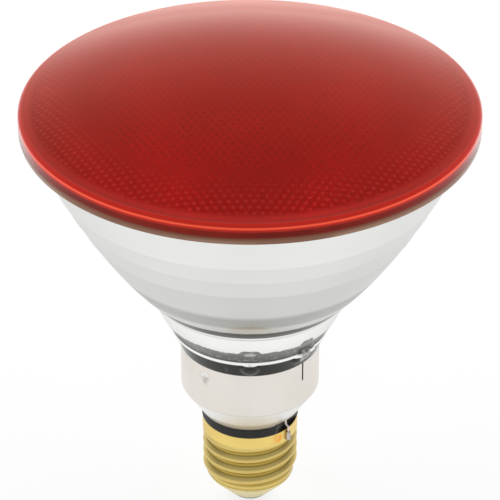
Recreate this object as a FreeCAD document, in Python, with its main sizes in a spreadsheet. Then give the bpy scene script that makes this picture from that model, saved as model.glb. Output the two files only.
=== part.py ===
import FreeCAD, Part
import math
import operator
import os

import Sketcher

# Infrared heat lamp bulb: a pressed glass reflector with a red lens, on a skirted screw cap.
# Millimetres. The lamp stands on its axis Z with the lens on top, and the origin is the tip
# of the centre contact. Turns round the axis start at the front, -Y, and grow towards +X.

SIZES = {
    # Front lens, a shallow dome with a short wall that meets the reflector
    "rim_diameter": 121.0,
    "dome_rise": 10.5,
    "lens_wall": 3.5,
    "lens_rim_height": 3.2,
    "lens_edge_round": 0.8,
    # Reflector bowl, a parabola inside and an even wall outside
    "seal_land": 4.86,
    "reflector_focus": 12.38,
    "bowl_wall": 3.0,
    "flange_height": 2.1,
    "flange_root": 0.6,
    "bowl_top_inset": 1.155,
    "neck_start_radius": 25.0,
    # Glass neck under the bowl, heavy at the top and narrowing to the cap
    "apex_rise": 6.8,
    "web_thickness": 3.5,
    "groove_inset": 1.1,
    "groove_drop": 0.9,
    "neck_swell": 0.35,
    "waist_rise": 6.0,
    "waist_radius": 21.5,
    "waist_bead": 0.6,
    "shoulder_overhang": 0.3,
    "plug_length": 11.5,
    "plug_wall": 3.2,
    "glass_fit": 0.25,
    # Lumps pressed on the narrowing part of the neck
    "boss_turn": 0.0,
    "boss_radius": 2.4,
    "boss_proud": 0.9,
    "lug_turn": 50.0,
    "lug_half_width": 3.6,
    "lug_half_height": 2.2,
    "lug_proud": 0.9,
    # Aluminium skirt of the cap
    "skirt_diameter": 38.0,
    "skirt_wall": 0.45,
    "skirt_height": 13.6,
    "skirt_cone_height": 8.35,
    "skirt_foot_diameter": 27.0,
    "skirt_hole_diameter": 22.2,
    "crimp_turn": -40.0,
    "crimp_drop": 4.6,
    "crimp_half_width": 1.5,
    "crimp_half_height": 2.0,
    "crimp_half_depth": 1.3,
    "crimp_depth": 0.9,
    "slit_turn": 50.0,
    "slit_width": 0.6,
    "slit_height": 5.3,
    # Black ring between the skirt and the screw shell
    "ring_diameter": 26.7,
    "ring_height": 3.05,
    "ring_bore_diameter": 19.6,
    "ring_spigot_fit": 0.3,
    "ring_spigot_rise": 1.3,
    "ring_spigot_drop": 1.8,
    "notch_turn": 58.0,
    "notch_half_width": 6.2,
    "notch_height": 0.9,
    "flat_distance": 12.1,
    # Brass screw shell, rolled from thin sheet
    "shell_height": 19.0,
    "collar_diameter": 26.4,
    "collar_height": 3.9,
    "collar_blend": 0.9,
    "thread_diameter": 26.3,
    "root_diameter": 24.3,
    "thread_pitch": 3.629,
    "thread_half_base": 1.5,
    "thread_crest_half_width": 0.665,
    "thread_crest_rise": 0.285,
    "thread_start": 2.0,
    "thread_turn": 181.4,
    "shell_wall": 0.35,
    "lip_diameter": 22.8,
    "lip_height": 1.9,
    "lip_middle_inset": 0.525,
    "lip_middle_rise": 0.57,
    # Insulator, contact and solder at the tip
    "insulator_height": 7.5,
    "insulator_foot_diameter": 10.4,
    "insulator_edge_height": 0.9,
    "insulator_edge_width": 0.2,
    "insulator_plug_rise": 2.6,
    "insulator_plug_fit": 0.2,
    "insulator_wall": 2.6,
    "contact_diameter": 9.8,
    "contact_thickness": 0.5,
    "eyelet_diameter": 2.6,
    "eyelet_bore": 1.2,
    "eyelet_rise": 2.5,
    "eyelet_fit": 0.15,
    "solder_diameter": 8.6,
    "solder_height": 1.0,
    "solder_flat_diameter": 3.4,
    # Ferrules, between the exhaust tube and the wall round them, with posts and filament
    "lead_turn": 51.0,
    "boss_tube_gap": 0.5,
    "boss_wall_gap": 2.4,
    "ferrule_boss_height": 2.0,
    "ferrule_boss_margin": 0.2,
    "ferrule_lip": 0.5,
    "ferrule_wall": 0.35,
    "ferrule_height": 5.0,
    "post_diameter": 1.5,
    "post_hole_gap": 1.45,
    "post_reach": 1.4,
    "coil_diameter": 3.0,
    "coil_leg": 1.425,
    "coil_turns": 9.0,
    "coil_wire_diameter": 0.6,
    "bridge_overhang": 2.0,
    "bridge_width": 4.6,
    "bridge_thickness": 3.0,
    "bridge_drop": 6.2,
    "bridge_fit": 0.05,
    "hook_diameter": 0.7,
    "hook_reach": 1.6,
    # Exhaust tube, drawn off to a closed tip
    "exhaust_diameter": 5.6,
    "exhaust_wall": 0.9,
    "exhaust_length": 10.0,
    "exhaust_tip_length": 2.6,
    "exhaust_tip_diameter": 1.8,
    # Wires in the cap and the solder on the collar
    "wire_diameter": 0.7,
    "wire_gap": 0.05,
    "wire_first_bend": 9.0,
    "centre_wire_slope": 16.0,
    "side_wire_slope": 5.0,
    "side_wire_tail": 3.0,
    "side_solder_radius": 0.8,
    "side_solder_height": 3.0,
}

# Arcs that the bowl's inside is drawn with, and where a quarter circle's middle lies
BOWL_ARCS = 5
DIAGONAL = math.sqrt(0.5)

OPERATIONS = {"+": operator.add, "-": operator.sub, "*": operator.mul, "/": operator.truediv}


class Size:
    """A length held as a number, to draw with, and as the formula that ties it to the sheet."""

    def __init__(self, number, formula):
        self.number = number
        self.formula = formula

    def __add__(self, other):
        return combine(self, "+", other)

    def __radd__(self, other):
        return combine(other, "+", self)

    def __sub__(self, other):
        return combine(self, "-", other)

    def __mul__(self, other):
        return combine(self, "*", other)

    def __rmul__(self, other):
        return combine(other, "*", self)

    def __truediv__(self, other):
        return combine(self, "/", other)

    def __neg__(self):
        return combine(-1, "*", self)


def as_size(value):
    return value if isinstance(value, Size) else Size(float(value), repr(float(value)))


def combine(left, sign, right):
    left, right = as_size(left), as_size(right)
    return Size(OPERATIONS[sign](left.number, right.number), f"({left.formula} {sign} {right.formula})")


def root(value):
    return Size(math.sqrt(value.number), f"sqrt({value.formula})")


def sine(turn):
    return Size(math.sin(math.radians(turn.number)), f"sin({turn.formula} * 1 deg)")


def cosine(turn):
    return Size(math.cos(math.radians(turn.number)), f"cos({turn.formula} * 1 deg)")


def size(name):
    return Size(SIZES[name], f"Sizes.{name}")


def make_sheet(doc):
    sheet = doc.addObject("Spreadsheet::Sheet", "Sizes")
    for row, (name, value) in enumerate(SIZES.items(), 1):
        sheet.set(f"A{row}", name)
        sheet.set(f"B{row}", str(value))
        sheet.setAlias(f"B{row}", name)
    doc.recompute()


# Heights from the contact tip up, each piece standing on the one below

CONTACT_Z = size("solder_height")
FOOT_Z = CONTACT_Z + size("contact_thickness")
LIP_Z = FOOT_Z + size("insulator_height")
RING_Z = LIP_Z + size("shell_height")
SKIRT_Z = RING_Z + size("ring_height")
FOLD_Z = SKIRT_Z + size("skirt_cone_height")
NECK_Z = FOLD_Z + size("skirt_height")
APEX_Z = NECK_Z + size("apex_rise")
WEB_Z = APEX_Z - size("web_thickness")
FOCUS_Z = APEX_Z + size("reflector_focus")
RIM_R = size("rim_diameter") / 2
MOUTH_R = RIM_R - size("seal_land")
SEAM_Z = APEX_Z + MOUTH_R * MOUTH_R / (4 * size("reflector_focus"))
SHOULDER_Z = SEAM_Z + size("lens_rim_height")
CROWN_Z = SHOULDER_Z + size("dome_rise")

# Radii that more than one piece shares

SKIRT_R = size("skirt_diameter") / 2
PLUG_R = SKIRT_R - size("skirt_wall") - size("glass_fit")
FOOT_R = size("skirt_foot_diameter") / 2
HOLE_R = size("skirt_hole_diameter") / 2
COLLAR_R = size("collar_diameter") / 2
CAVITY_R = PLUG_R - size("plug_wall")
TUBE_R = size("exhaust_diameter") / 2
BOSS_R = (CAVITY_R - size("boss_wall_gap") - size("boss_tube_gap") - TUBE_R) / 2
LEAD_R = TUBE_R + size("boss_tube_gap") + BOSS_R
FERRULE_R = BOSS_R - size("ferrule_boss_margin") - size("ferrule_lip")
FERRULE_TOP_Z = WEB_Z - size("ferrule_boss_height")
FERRULE_BOTTOM_Z = FERRULE_TOP_Z - size("ferrule_height")
BRIDGE_Z = FOCUS_Z - size("bridge_drop")
COIL_R = size("coil_diameter") / 2
COIL_HALF = LEAD_R - size("post_reach") - size("coil_leg")


def tie(sketch, index, name, length):
    sketch.renameConstraint(index, name)
    sketch.setExpression(f"Constraints.{name}", length.formula)


def hold(sketch, geometry, end, across, up, name):
    """Fix a sketch point by its distances from the sketch's two axes."""
    for length, kind, axis in ((across, "DistanceX", -2), (up, "DistanceY", -1)):
        length = as_size(length)
        if length.number == 0:
            sketch.addConstraint(Sketcher.Constraint("PointOnObject", geometry, end, axis))
        elif length.number > 0:
            index = sketch.addConstraint(Sketcher.Constraint(kind, -1, 1, geometry, end, length.number))
            tie(sketch, index, f"{name}_{kind[-1].lower()}", length)
        else:
            index = sketch.addConstraint(Sketcher.Constraint(kind, geometry, end, -1, 1, -length.number))
            tie(sketch, index, f"{name}_{kind[-1].lower()}", -length)


class Outline:
    """A chain of lines and arcs in a sketch, each corner tied to the sheet."""

    def __init__(self, sketch, across, up):
        self.sketch = sketch
        self.corners = 0
        self.first = None
        self.last = None
        self.start = (across, up)
        self.here = self.vector(across, up)

    def vector(self, across, up):
        return FreeCAD.Vector(as_size(across).number, as_size(up).number, 0)

    def add(self, curve, target):
        """Join a curve to the chain by whichever of its ends lies here."""
        geometry = self.sketch.addGeometry(curve, False)
        starts_here = self.sketch.getPoint(geometry, 1).distanceToPoint(self.here) < 1e-6
        near, far = (1, 2) if starts_here else (2, 1)
        if self.last is None:
            self.first = (geometry, near)
            hold(self.sketch, geometry, near, *self.start, "start")
        else:
            self.sketch.addConstraint(Sketcher.Constraint("Coincident", *self.last, geometry, near))
        self.last = (geometry, far)
        self.here = target
        self.corners += 1
        return geometry

    def line(self, across, up):
        target = self.vector(across, up)
        geometry = self.add(Part.LineSegment(self.here, target), target)
        hold(self.sketch, geometry, self.last[1], across, up, f"corner{self.corners}")
        return self

    def arc(self, middle, end):
        target = self.vector(*end)
        geometry = self.add(Part.Arc(self.here, self.vector(*middle), target), target)
        name = f"corner{self.corners}"
        hold(self.sketch, geometry, self.last[1], *end, name)
        through = self.sketch.addGeometry(Part.Point(self.vector(*middle)), True)
        hold(self.sketch, through, 1, *middle, f"{name}_middle")
        self.sketch.addConstraint(Sketcher.Constraint("PointOnObject", through, 1, geometry))
        return self

    def close(self):
        target = self.sketch.getPoint(*self.first)
        self.add(Part.LineSegment(self.here, target), target)
        self.sketch.addConstraint(Sketcher.Constraint("Coincident", *self.last, *self.first))
        return self.sketch


def new_body(doc, label):
    body = doc.addObject("PartDesign::Body", label)
    body.Label = label
    return body


def new_sketch(body, name, plane, offset=None):
    """A sketch on one of its body's own planes, moved along the plane's normal by offset."""
    sketch = body.newObject("Sketcher::SketchObject", name)
    face = [feature for feature in body.Origin.OriginFeatures if feature.Role == plane][0]
    sketch.AttachmentSupport = [(face, "")]
    sketch.MapMode = "FlatFace"
    if offset is not None:
        sketch.setExpression("AttachmentOffset.Base.z", offset.formula)
    return sketch


def outline(body, name, across, up):
    return Outline(new_sketch(body, name, "XZ_Plane"), across, up)


def revolve(body, sketch):
    feature = body.newObject("PartDesign::Revolution", f"{body.Name}_turned")
    feature.Profile = sketch
    feature.ReferenceAxis = (sketch, ["V_Axis"])
    feature.Angle = 360
    return feature


def add_circle(sketch, across, up, diameter, name):
    centre = FreeCAD.Vector(as_size(across).number, as_size(up).number, 0)
    circle = Part.Circle(centre, FreeCAD.Vector(0, 0, 1), diameter.number / 2)
    geometry = sketch.addGeometry(circle, False)
    hold(sketch, geometry, 3, across, up, name)
    index = sketch.addConstraint(Sketcher.Constraint("Diameter", geometry, diameter.number))
    tie(sketch, index, f"{name}_diameter", diameter)


def pad(body, sketch, length):
    feature = body.newObject("PartDesign::Pad", f"{sketch.Name}_pad")
    feature.Profile = sketch
    feature.setExpression("Length", length.formula)
    return feature


def pocket(body, sketch, length):
    """Cut along the sketch's normal, on the side the normal points to."""
    feature = body.newObject("PartDesign::Pocket", f"{sketch.Name}_cut")
    feature.Profile = sketch
    feature.setExpression("Length", length.formula)
    feature.Reversed = True
    return feature


def round_edges(doc, body, feature, rounds):
    """Round whole circular edges, each found by its radius and height."""
    for number, (radius, height, amount) in enumerate(rounds):
        doc.recompute()
        names = [
            f"Edge{index}"
            for index, edge in enumerate(feature.Shape.Edges, 1)
            if abs(edge.Length - 2 * math.pi * radius.number) < 1e-3
            and abs(edge.CenterOfMass.z - height.number) < 1e-4
        ]
        fillet = body.newObject("PartDesign::Fillet", f"{body.Name}_round{number}")
        fillet.Base = (feature, names)
        fillet.setExpression("Radius", amount.formula)
        feature = fillet
    return feature


def stand_at(thing, turn, out=0, along=0, up=0):
    """Place a piece at a turn round the lamp, some way out from the axis and along the tangent."""
    out, along, up = as_size(out), as_size(along), as_size(up)
    thing.setExpression("Placement.Rotation.Angle", f"{turn.formula} * 1 deg")
    thing.setExpression("Placement.Base.x", (out * sine(turn) + along * cosine(turn)).formula)
    thing.setExpression("Placement.Base.y", (along * sine(turn) - out * cosine(turn)).formula)
    thing.setExpression("Placement.Base.z", up.formula)


def primitive(doc, kind, name, **lengths):
    thing = doc.addObject(f"Part::{kind}", name)
    for key, length in lengths.items():
        thing.setExpression(key, as_size(length).formula)
    return thing


def fuse(doc, name, pieces):
    thing = doc.addObject("Part::MultiFuse", name)
    thing.Shapes = pieces
    return thing


def cut(doc, label, base, tools):
    """Take tools away from base. The result carries the sub-part's name."""
    thing = doc.addObject("Part::Cut", label)
    thing.Label = label
    thing.Base = base
    thing.Tool = tools[0] if len(tools) == 1 else fuse(doc, f"{label}_tools", tools)
    return thing


def opposite_pair(turn):
    return turn, turn + 180


# Red front lens

def dome_height(inset, across):
    """Height of the dome's sphere, made smaller by inset, at a distance from the axis."""
    dome_r = (RIM_R * RIM_R + size("dome_rise") * size("dome_rise")) / (2 * size("dome_rise"))
    radius = dome_r - inset
    return CROWN_Z - dome_r + root(radius * radius - across * across)


def front_lens(doc):
    body = new_body(doc, "front_lens")
    wall = size("lens_wall")
    inner_r = RIM_R - wall
    corner_z = dome_height(wall, inner_r)
    chain = outline(body, "lens_section", 0, CROWN_Z)
    chain.arc((RIM_R / 2, dome_height(0, RIM_R / 2)), (RIM_R, SHOULDER_Z))
    chain.line(RIM_R, SEAM_Z)
    chain.line(inner_r, SEAM_Z)
    chain.line(inner_r, corner_z)
    chain.arc((inner_r / 2, dome_height(wall, inner_r / 2)), (0, CROWN_Z - wall))
    turned = revolve(body, chain.close())
    round_edges(doc, body, turned, [(RIM_R, SHOULDER_Z, size("lens_edge_round"))])
    return body


# Reflector: flange, bowl, neck and the plug that the cap grips, pressed as one piece of glass

def bowl_point(inner_r):
    """Point on the bowl's inside, a parabola about the filament."""
    return inner_r, APEX_Z + inner_r * inner_r / (4 * size("reflector_focus"))


def wall_point(inner_r):
    """Point on the bowl's outside, square across the wall from a point on the inside."""
    focus, wall = size("reflector_focus"), size("bowl_wall")
    slope = root(inner_r * inner_r + 4 * focus * focus)
    across, up = bowl_point(inner_r)
    return across + wall * inner_r / slope, up - 2 * focus * wall / slope


def reflector_section(body):
    plug_z = NECK_Z - size("plug_length")
    shoulder_r = SKIRT_R + size("shoulder_overhang")
    waist_r, waist_z = size("waist_radius"), NECK_Z + size("waist_rise")
    bead = size("waist_bead")
    low = size("neck_start_radius")
    high = MOUTH_R - size("bowl_top_inset")
    quarter = (high - low) / 4
    low_x, low_z = wall_point(low)
    high_x, high_z = wall_point(high)
    groove_x, groove_z = low_x - size("groove_inset"), low_z - size("groove_drop")
    swell_x = (groove_x + waist_r) / 2 + size("neck_swell")
    swell_z = (groove_z + waist_z + bead) / 2 + size("neck_swell")
    chain = outline(body, "reflector_section", MOUTH_R, SEAM_Z)
    step = MOUTH_R / (2 * BOWL_ARCS)
    for count in range(2 * BOWL_ARCS - 2, 0, -2):
        chain.arc(bowl_point(step * (count + 1)), bowl_point(step * count))
    chain.arc(bowl_point(step), (0, APEX_Z))
    chain.line(0, WEB_Z)
    chain.line(CAVITY_R, WEB_Z)
    chain.line(CAVITY_R, plug_z)
    chain.line(PLUG_R, plug_z)
    chain.line(PLUG_R, NECK_Z)
    chain.line(shoulder_r, NECK_Z)
    chain.line(waist_r - bead / 2, waist_z - bead)
    chain.arc((waist_r + bead / 4, waist_z), (waist_r, waist_z + bead))
    chain.arc((swell_x, swell_z), (groove_x, groove_z))
    chain.line(low_x, low_z)
    chain.arc(wall_point(low + quarter), wall_point(low + 2 * quarter))
    chain.arc(wall_point(low + 3 * quarter), (high_x, high_z))
    chain.line(high_x + size("flange_root"), SEAM_Z - size("flange_height"))
    chain.line(RIM_R, SEAM_Z - size("flange_height"))
    chain.line(RIM_R, SEAM_Z)
    return chain.close()


def crimp_shape(doc, name, turn, growth):
    """The punch that dents the skirt into the glass, grown all round by growth."""
    depth = size("crimp_half_depth")
    punch = primitive(
        doc, "Ellipsoid", name,
        Radius1=size("crimp_half_height") + growth,
        Radius2=size("crimp_half_width") + growth,
        Radius3=depth + growth,
    )
    stand_at(punch, turn, out=SKIRT_R + depth - size("crimp_depth"), up=NECK_Z - size("crimp_drop"))
    return punch


def neck_lump(doc, name, turn, half_width, half_height, proud):
    """A rounded lump on the narrowing part of the neck, resting on the shoulder's level."""
    taper_r = (SKIRT_R + size("shoulder_overhang") + size("waist_radius")) / 2
    lump = primitive(
        doc, "Ellipsoid", name, Radius1=half_height, Radius2=half_width, Radius3=half_height
    )
    stand_at(lump, turn, out=taper_r + proud - half_height, up=NECK_Z + half_height + size("glass_fit"))
    return lump


def reflector(doc):
    body = new_body(doc, "reflector_glass")
    revolve(body, reflector_section(body))
    seats = new_sketch(body, "ferrule_bosses", "XY_Plane", FERRULE_TOP_Z)
    for side, name in ((LEAD_R, "right"), (-LEAD_R, "left")):
        add_circle(seats, side, 0, 2 * BOSS_R, name)
    pad(body, seats, size("ferrule_boss_height") + size("web_thickness") / 2)
    holes = new_sketch(body, "glass_holes", "XY_Plane", FERRULE_TOP_Z)
    for side, name in ((LEAD_R, "right"), (-LEAD_R, "left")):
        add_circle(holes, side, 0, size("post_diameter") + 2 * size("post_hole_gap"), name)
    add_circle(holes, 0, 0, 2 * (TUBE_R - size("exhaust_wall")), "exhaust")
    pocket(body, holes, FOCUS_Z - FERRULE_TOP_Z)
    stand_at(body, size("lead_turn") - 90)
    lumps = []
    for number, turn in enumerate(opposite_pair(size("boss_turn"))):
        radius = size("boss_radius")
        lumps.append(neck_lump(doc, f"boss{number}", turn, radius, radius, size("boss_proud")))
    for number, turn in enumerate(opposite_pair(size("lug_turn"))):
        wide, tall = size("lug_half_width"), size("lug_half_height")
        lumps.append(neck_lump(doc, f"lug{number}", turn, wide, tall, size("lug_proud")))
    recess_growth = size("skirt_wall") + size("glass_fit")
    recesses = [
        crimp_shape(doc, f"recess{number}", turn, recess_growth)
        for number, turn in enumerate(opposite_pair(size("crimp_turn")))
    ]
    return cut(doc, "reflector", fuse(doc, "reflector_lumps", [body] + lumps), recesses)


def exhaust_tube(doc):
    body = new_body(doc, "exhaust_tube")
    wall = size("exhaust_wall")
    inner_r, tip_r = TUBE_R - wall, size("exhaust_tip_diameter") / 2
    tip_z = WEB_Z - size("exhaust_length")
    neck_z = tip_z + size("exhaust_tip_length")
    chain = outline(body, "exhaust_section", inner_r, WEB_Z)
    chain.line(TUBE_R, WEB_Z)
    chain.line(TUBE_R, neck_z)
    chain.line(tip_r, tip_z + tip_r)
    chain.arc((tip_r * DIAGONAL, tip_z + tip_r * (1 - DIAGONAL)), (0, tip_z))
    chain.line(0, tip_z + 2 * tip_r)
    chain.line(tip_r / 2, tip_z + 2 * tip_r)
    chain.line(inner_r, neck_z + wall / 2)
    revolve(body, chain.close())
    return body


# Ferrules, posts, bridge, hook and filament

def ferrule(doc, label, turn):
    body = new_body(doc, label)
    wall, lip_r = size("ferrule_wall"), FERRULE_R + size("ferrule_lip")
    chain = outline(body, f"{label}_section", 0, FERRULE_BOTTOM_Z)
    chain.line(FERRULE_R, FERRULE_BOTTOM_Z)
    chain.line(FERRULE_R, FERRULE_TOP_Z - wall)
    chain.line(lip_r, FERRULE_TOP_Z - wall)
    chain.line(lip_r, FERRULE_TOP_Z)
    chain.line(FERRULE_R - wall, FERRULE_TOP_Z)
    chain.line(FERRULE_R - wall, FERRULE_BOTTOM_Z + wall)
    chain.line(0, FERRULE_BOTTOM_Z + wall)
    revolve(body, chain.close())
    stand_at(body, turn, out=LEAD_R)
    return body


def wire_body(doc, label, plane, route, diameter, turn):
    """A round wire that starts upright and follows straight runs with rounded corners."""
    body = new_body(doc, label)
    (first_x, first_z), rest = route[0], route[1:]
    section = new_sketch(body, f"{label}_section", "XY_Plane", first_z)
    if plane == "XZ_Plane":
        add_circle(section, first_x, 0, diameter, "wire")
    else:
        add_circle(section, 0, first_x, diameter, "wire")
    path = Outline(new_sketch(body, f"{label}_path", plane), first_x, first_z)
    for across, up in rest:
        path.line(across, up)
    pipe = body.newObject("PartDesign::AdditivePipe", f"{label}_pipe")
    pipe.Profile = section
    pipe.Spine = path.sketch
    pipe.Transition = "Round corner"
    stand_at(body, turn)
    return body


def lead_post(doc, label, turn):
    leg_x = LEAD_R - size("post_reach")
    wire_z = FOCUS_Z - COIL_R
    route = [(LEAD_R, FERRULE_BOTTOM_Z + size("ferrule_wall")), (LEAD_R, wire_z), (leg_x, wire_z)]
    return wire_body(doc, label, "XZ_Plane", route, size("post_diameter"), turn)


def post_bridge(doc):
    body = new_body(doc, "post_bridge")
    half_width = size("bridge_width") / 2
    half_straight = LEAD_R + size("bridge_overhang") - half_width
    sketch = new_sketch(body, "bridge_plan", "XY_Plane", BRIDGE_Z)
    chain = Outline(sketch, half_straight, -half_width)
    chain.arc((half_straight + half_width, 0), (half_straight, half_width))
    chain.line(-half_straight, half_width)
    chain.arc((-half_straight - half_width, 0), (-half_straight, -half_width))
    pad(body, chain.close(), size("bridge_thickness"))
    holes = new_sketch(body, "bridge_holes", "XY_Plane", BRIDGE_Z)
    post_hole = size("post_diameter") + 2 * size("bridge_fit")
    add_circle(holes, LEAD_R, 0, post_hole, "right")
    add_circle(holes, -LEAD_R, 0, post_hole, "left")
    add_circle(holes, 0, 0, size("hook_diameter") + 2 * size("bridge_fit"), "hook")
    pocket(body, holes, size("bridge_thickness"))
    stand_at(body, size("lead_turn") - 90)
    return body


def filament_hook(doc):
    top_z = FOCUS_Z - COIL_R - (size("coil_wire_diameter") + size("hook_diameter")) / 2
    route = [(0, BRIDGE_Z), (0, top_z), (size("hook_reach"), top_z)]
    return wire_body(doc, "filament_hook", "YZ_Plane", route, size("hook_diameter"), size("lead_turn") - 90)


def filament(doc):
    body = new_body(doc, "filament")
    wire_r = size("coil_wire_diameter") / 2
    section = new_sketch(body, "coil_section", "XZ_Plane")
    section.setExpression("AttachmentOffset.Base.y", FOCUS_Z.formula)
    corners = [(math.cos(step * math.pi / 3), math.sin(step * math.pi / 3)) for step in range(6)]
    places = [(wire_r * x - COIL_HALF, wire_r * z - COIL_R) for x, z in corners]
    chain = Outline(section, *places[0])
    for place in places[1:]:
        chain.line(*place)
    chain.close()
    coil = body.newObject("PartDesign::AdditiveHelix", "coil")
    coil.Profile = section
    coil.ReferenceAxis = (section, ["H_Axis"])
    coil.Mode = "pitch-turns-angle"
    coil.setExpression("Pitch", (2 * COIL_HALF / size("coil_turns")).formula)
    coil.setExpression("Turns", size("coil_turns").formula)
    leg = size("coil_leg")
    for name, from_x in (("left_leg", -COIL_HALF - leg), ("right_leg", COIL_HALF - wire_r)):
        end = new_sketch(body, name, "YZ_Plane", from_x)
        add_circle(end, 0, FOCUS_Z - COIL_R, size("coil_wire_diameter"), name)
        pad(body, end, leg + wire_r)
    stand_at(body, size("lead_turn") - 90)
    return body


# Aluminium skirt

def skirt_section(body):
    wall = size("skirt_wall")
    slant = root(
        (SKIRT_R - FOOT_R) * (SKIRT_R - FOOT_R) + size("skirt_cone_height") * size("skirt_cone_height")
    )
    inner_fold_z = FOLD_Z + wall * (SKIRT_R - FOOT_R) / (slant + size("skirt_cone_height"))
    inner_foot_r = FOOT_R - wall * slant / size("skirt_cone_height")
    inner_foot_r = inner_foot_r + wall * (SKIRT_R - FOOT_R) / size("skirt_cone_height")
    chain = outline(body, "skirt_section", SKIRT_R, NECK_Z)
    chain.line(SKIRT_R, FOLD_Z)
    chain.line(FOOT_R, SKIRT_Z)
    chain.line(HOLE_R, SKIRT_Z)
    chain.line(HOLE_R, SKIRT_Z + wall)
    chain.line(inner_foot_r, SKIRT_Z + wall)
    chain.line(SKIRT_R - wall, inner_fold_z)
    chain.line(SKIRT_R - wall, NECK_Z)
    return chain.close()


def notch_tool(doc, name, out, down, high):
    """A block that stands outside the flat on the cap's lower side and cuts what it meets."""
    block = primitive(
        doc, "Box", name,
        Length=2 * size("notch_half_width"),
        Width=SKIRT_R,
        Height=high,
    )
    stand_at(block, size("notch_turn"), out=out + SKIRT_R, along=-size("notch_half_width"), up=down)
    return block


def cap_skirt(doc):
    body = new_body(doc, "skirt_sheet")
    revolve(body, skirt_section(body))
    turns = opposite_pair(size("crimp_turn"))
    swells = [
        crimp_shape(doc, f"swell{number}", turn, size("skirt_wall"))
        for number, turn in enumerate(turns)
    ]
    core = primitive(
        doc, "Cylinder", "swell_limit", Radius=SKIRT_R - size("skirt_wall") / 2, Height=NECK_Z
    )
    dents = doc.addObject("Part::Common", "skirt_dents")
    dents.Base = fuse(doc, "skirt_swells", swells)
    dents.Tool = core
    tools = [crimp_shape(doc, f"punch{number}", turn, as_size(0)) for number, turn in enumerate(turns)]
    for number, turn in enumerate(opposite_pair(size("slit_turn"))):
        slit = primitive(
            doc, "Box", f"slit{number}",
            Length=size("slit_width"), Width=4 * size("skirt_wall"), Height=size("slit_height") * 2,
        )
        stand_at(
            slit, turn, out=SKIRT_R + size("skirt_wall"), along=-size("slit_width") / 2,
            up=NECK_Z - size("slit_height"),
        )
        tools.append(slit)
    tools.append(notch_tool(
        doc, "skirt_notch", size("flat_distance") - size("wire_diameter"),
        SKIRT_Z - size("skirt_wall"), size("notch_height") + size("skirt_wall"),
    ))
    return cut(doc, "cap_skirt", fuse(doc, "skirt_dented", [body, dents]), tools)


# Insulating ring

def insulating_ring(doc):
    body = new_body(doc, "ring_moulding")
    outer_r, bore_r = size("ring_diameter") / 2, size("ring_bore_diameter") / 2
    upper_r = HOLE_R - size("ring_spigot_fit")
    lower_r = COLLAR_R - size("shell_wall") - size("ring_spigot_fit")
    chain = outline(body, "ring_section", bore_r, SKIRT_Z + size("ring_spigot_rise"))
    chain.line(bore_r, RING_Z - size("ring_spigot_drop"))
    chain.line(lower_r, RING_Z - size("ring_spigot_drop"))
    chain.line(lower_r, RING_Z)
    chain.line(outer_r, RING_Z)
    chain.line(outer_r, SKIRT_Z)
    chain.line(upper_r, SKIRT_Z)
    chain.line(upper_r, SKIRT_Z + size("ring_spigot_rise"))
    revolve(body, chain.close())
    flat = notch_tool(doc, "ring_flat", size("flat_distance"), RING_Z, size("ring_height"))
    return cut(doc, "insulating_ring", body, [flat])


# Screw shell: the sheet is the difference of two threaded blanks, one wall apart

def threaded_core(doc, name, inset, overrun):
    """A collar over a long threaded stem, with every radius less by inset."""
    body = new_body(doc, f"{name}_core")
    root_r = size("root_diameter") / 2 - inset
    crest_r = size("thread_diameter") / 2 - inset
    collar_r = COLLAR_R - inset
    collar_z = RING_Z - size("collar_height")
    below_z = LIP_Z - size("thread_pitch")
    chain = outline(body, f"{name}_section", 0, below_z)
    chain.line(root_r, below_z)
    chain.line(root_r, collar_z - size("collar_blend"))
    chain.line(collar_r, collar_z)
    chain.line(collar_r, RING_Z + overrun)
    chain.line(0, RING_Z + overrun)
    revolve(body, chain.close())
    base_r = root_r - size("shell_wall")
    half_base = size("thread_half_base") - inset / 2
    half_crest = size("thread_crest_half_width") - inset / 2
    shoulder_r = crest_r - size("thread_crest_rise")
    start_z = LIP_Z + size("thread_start")
    ridge = outline(body, f"{name}_ridge", base_r, start_z - half_base)
    ridge.line(root_r, start_z - half_base)
    ridge.line(shoulder_r, start_z - half_crest)
    ridge.arc((crest_r, start_z), (shoulder_r, start_z + half_crest))
    ridge.line(root_r, start_z + half_base)
    ridge.line(base_r, start_z + half_base)
    sketch = ridge.close()
    thread = body.newObject("PartDesign::AdditiveHelix", f"{name}_thread")
    thread.Profile = sketch
    thread.ReferenceAxis = (sketch, ["V_Axis"])
    thread.Mode = "pitch-height-angle"
    thread.setExpression("Pitch", size("thread_pitch").formula)
    thread.setExpression("Height", (collar_z + size("thread_half_base") - start_z).formula)
    stand_at(body, size("thread_turn") - 90)
    return body


def rounded_limit(doc, name, inset, overrun):
    """The rounded lower end that the thread fades into. It stands clear of the shell above that."""
    body = new_body(doc, f"{name}_limit")
    crest_r = size("thread_diameter") / 2 - inset
    lip_r = size("lip_diameter") / 2 - inset
    clear_r = crest_r + size("shell_wall")
    round_z = LIP_Z + size("lip_height")
    above_z = RING_Z + size("ring_height")
    chain = outline(body, f"{name}_round", 0, LIP_Z - overrun)
    chain.line(lip_r, LIP_Z - overrun)
    if overrun.number > 0:
        chain.line(lip_r, LIP_Z)
    middle = (crest_r - size("lip_middle_inset"), LIP_Z + size("lip_middle_rise"))
    chain.arc(middle, (clear_r, round_z))
    chain.line(clear_r + size("shell_wall"), above_z)
    chain.line(0, above_z)
    revolve(body, chain.close())
    return body


def screw_blank(doc, name, inset, overrun):
    blank = doc.addObject("Part::Common", name)
    blank.Base = threaded_core(doc, name, inset, overrun)
    blank.Tool = rounded_limit(doc, name, inset, overrun)
    return blank


def screw_shell(doc):
    wall = size("shell_wall")
    outside = screw_blank(doc, "screw_outside", as_size(0), as_size(0))
    inside = screw_blank(doc, "screw_inside", wall, wall)
    return cut(doc, "screw_shell", outside, [inside])


# Insulator, contact and solder

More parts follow.
